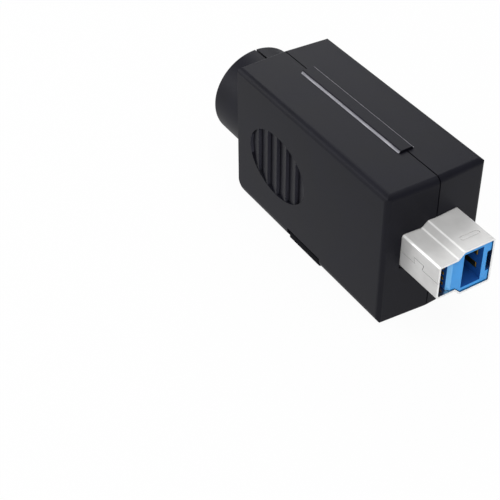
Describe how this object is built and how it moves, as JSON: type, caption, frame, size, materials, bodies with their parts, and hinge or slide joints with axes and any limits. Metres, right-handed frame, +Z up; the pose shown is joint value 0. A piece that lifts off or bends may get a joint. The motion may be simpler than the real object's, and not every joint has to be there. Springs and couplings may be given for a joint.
{
  "type": "usb-b plug",
  "caption": "Field-wired USB 3.0 type B plug: black housing that folds open on a moulded strap, split cable collar, nickel shell with blue insulator, screw terminals inside.",
  "frame": {"origin": "middle of the overall length and width, at the flat sole of the housing", "axes": "+X to the right seen from the plug's mouth side towards the collar, +Y from the plug to the cable collar, +Z up to the hinge strap"},
  "size_m": [0.0186, 0.0596, 0.0264],
  "materials": {
    "housing_plastic": "fine matt moulded black ABS",
    "nickel_shell": "satin nickel-plated folded steel",
    "blue_insulator": "moulded blue insulator, semi-gloss",
    "carrier_plastic": "black moulded contact block",
    "gold_contact": "gold-plated stamped contact",
    "board_laminate": "green solder mask on laminate",
    "terminal_plastic": "green moulded terminal body",
    "zinc_screw": "zinc-plated steel",
    "brass_cage": "nickel-flashed brass",
    "tinned_pin": "tinned copper"
  },
  "bodies": {
    "base_half": {"right_housing": "housing_plastic", "plug_shell": "nickel_shell", "plug_insulator": "blue_insulator", "contact_carrier": "carrier_plastic", "circuit_board": "board_laminate", "left_terminal": "terminal_plastic", "right_terminal": "terminal_plastic", "usb2_contact_1": "gold_contact", "usb2_contact_2": "gold_contact", "usb2_contact_3": "gold_contact", "usb2_contact_4": "gold_contact", "ss_contact_1": "gold_contact", "ss_contact_2": "gold_contact", "ss_contact_3": "gold_contact", "ss_contact_4": "gold_contact", "ss_contact_5": "gold_contact", "left_pin_1": "tinned_pin", "left_pin_2": "tinned_pin", "left_pin_3": "tinned_pin", "left_pin_4": "tinned_pin", "left_pin_5": "tinned_pin", "right_pin_1": "tinned_pin", "right_pin_2": "tinned_pin", "right_pin_3": "tinned_pin", "right_pin_4": "tinned_pin", "right_pin_5": "tinned_pin"},
    "strap": {"hinge_strap": "housing_plastic"},
    "cover_half": {"left_housing": "housing_plastic"},
    "left_screw_1": {"left_screw_1": "zinc_screw"},
    "left_cage_1": {"left_cage_1": "brass_cage"},
    "left_screw_2": {"left_screw_2": "zinc_screw"},
    "left_cage_2": {"left_cage_2": "brass_cage"},
    "left_screw_3": {"left_screw_3": "zinc_screw"},
    "left_cage_3": {"left_cage_3": "brass_cage"},
    "left_screw_4": {"left_screw_4": "zinc_screw"},
    "left_cage_4": {"left_cage_4": "brass_cage"},
    "left_screw_5": {"left_screw_5": "zinc_screw"},
    "left_cage_5": {"left_cage_5": "brass_cage"},
    "right_screw_1": {"right_screw_1": "zinc_screw"},
    "right_cage_1": {"right_cage_1": "brass_cage"},
    "right_screw_2": {"right_screw_2": "zinc_screw"},
    "right_cage_2": {"right_cage_2": "brass_cage"},
    "right_screw_3": {"right_screw_3": "zinc_screw"},
    "right_cage_3": {"right_cage_3": "brass_cage"},
    "right_screw_4": {"right_screw_4": "zinc_screw"},
    "right_cage_4": {"right_cage_4": "brass_cage"},
    "right_screw_5": {"right_screw_5": "zinc_screw"},
    "right_cage_5": {"right_cage_5": "brass_cage"}
  },
  "joints": [
    {"name": "strap_fold", "type": "hinge", "parent": "base_half", "child": "strap", "pos_m": [0.00098, 0, 0.02615], "axis": [0, 1, 0], "range_deg": [0, 90]},
    {"name": "cover_fold", "type": "hinge", "parent": "strap", "child": "cover_half", "pos_m": [-0.00098, 0, 0.02615], "axis": [0, 1, 0], "range_deg": [0, 90]},
    {"name": "left_screw_1_turn", "type": "hinge", "parent": "base_half", "child": "left_screw_1", "pos_m": [-0.007, -0.0034, 0.02], "axis": [1, 0, 0], "range_deg": [0, 900]},
    {"name": "left_cage_1_rise", "type": "slide", "parent": "base_half", "child": "left_cage_1", "axis": [-1, 0, 0], "range_m": [0, 0.001]},
    {"name": "left_screw_2_turn", "type": "hinge", "parent": "base_half", "child": "left_screw_2", "pos_m": [-0.007, -0.0034, 0.0165], "axis": [1, 0, 0], "range_deg": [0, 900]},
    {"name": "left_cage_2_rise", "type": "slide", "parent": "base_half", "child": "left_cage_2", "axis": [-1, 0, 0], "range_m": [0, 0.001]},
    {"name": "left_screw_3_turn", "type": "hinge", "parent": "base_half", "child": "left_screw_3", "pos_m": [-0.007, -0.0034, 0.013], "axis": [1, 0, 0], "range_deg": [0, 900]},
    {"name": "left_cage_3_rise", "type": "slide", "parent": "base_half", "child": "left_cage_3", "axis": [-1, 0, 0], "range_m": [0, 0.001]},
    {"name": "left_screw_4_turn", "type": "hinge", "parent": "base_half", "child": "left_screw_4", "pos_m": [-0.007, -0.0034, 0.0095], "axis": [1, 0, 0], "range_deg": [0, 900]},
    {"name": "left_cage_4_rise", "type": "slide", "parent": "base_half", "child": "left_cage_4", "axis": [-1, 0, 0], "range_m": [0, 0.001]},
    {"name": "left_screw_5_turn", "type": "hinge", "parent": "base_half", "child": "left_screw_5", "pos_m": [-0.007, -0.0034, 0.006], "axis": [1, 0, 0], "range_deg": [0, 900]},
    {"name": "left_cage_5_rise", "type": "slide", "parent": "base_half", "child": "left_cage_5", "axis": [-1, 0, 0], "range_m": [0, 0.001]},
    {"name": "right_screw_1_turn", "type": "hinge", "parent": "base_half", "child": "right_screw_1", "pos_m": [0.007, -0.0034, 0.006], "axis": [-1, 0, 0], "range_deg": [0, 900]},
    {"name": "right_cage_1_rise", "type": "slide", "parent": "base_half", "child": "right_cage_1", "axis": [1, 0, 0], "range_m": [0, 0.001]},
    {"name": "right_screw_2_turn", "type": "hinge", "parent": "base_half", "child": "right_screw_2", "pos_m": [0.007, -0.0034, 0.0095], "axis": [-1, 0, 0], "range_deg": [0, 900]},
    {"name": "right_cage_2_rise", "type": "slide", "parent": "base_half", "child": "right_cage_2", "axis": [1, 0, 0], "range_m": [0, 0.001]},
    {"name": "right_screw_3_turn", "type": "hinge", "parent": "base_half", "child": "right_screw_3", "pos_m": [0.007, -0.0034, 0.013], "axis": [-1, 0, 0], "range_deg": [0, 900]},
    {"name": "right_cage_3_rise", "type": "slide", "parent": "base_half", "child": "right_cage_3", "axis": [1, 0, 0], "range_m": [0, 0.001]},
    {"name": "right_screw_4_turn", "type": "hinge", "parent": "base_half", "child": "right_screw_4", "pos_m": [0.007, -0.0034, 0.0165], "axis": [-1, 0, 0], "range_deg": [0, 900]},
    {"name": "right_cage_4_rise", "type": "slide", "parent": "base_half", "child": "right_cage_4", "axis": [1, 0, 0], "range_m": [0, 0.001]},
    {"name": "right_screw_5_turn", "type": "hinge", "parent": "base_half", "child": "right_screw_5", "pos_m": [0.007, -0.0034, 0.02], "axis": [-1, 0, 0], "range_deg": [0, 900]},
    {"name": "right_cage_5_rise", "type": "slide", "parent": "base_half", "child": "right_cage_5", "axis": [1, 0, 0], "range_m": [0, 0.001]}
  ],
  "couplings": [
    {"joint": "left_screw_1_turn", "follows": "left_cage_1_rise", "rad_per_m": 15708},
    {"joint": "left_screw_2_turn", "follows": "left_cage_2_rise", "rad_per_m": 15708},
    {"joint": "left_screw_3_turn", "follows": "left_cage_3_rise", "rad_per_m": 15708},
    {"joint": "left_screw_4_turn", "follows": "left_cage_4_rise", "rad_per_m": 15708},
    {"joint": "left_screw_5_turn", "follows": "left_cage_5_rise", "rad_per_m": 15708},
    {"joint": "right_screw_1_turn", "follows": "right_cage_1_rise", "rad_per_m": 15708},
    {"joint": "right_screw_2_turn", "follows": "right_cage_2_rise", "rad_per_m": 15708},
    {"joint": "right_screw_3_turn", "follows": "right_cage_3_rise", "rad_per_m": 15708},
    {"joint": "right_screw_4_turn", "follows": "right_cage_4_rise", "rad_per_m": 15708},
    {"joint": "right_screw_5_turn", "follows": "right_cage_5_rise", "rad_per_m": 15708}
  ]
}
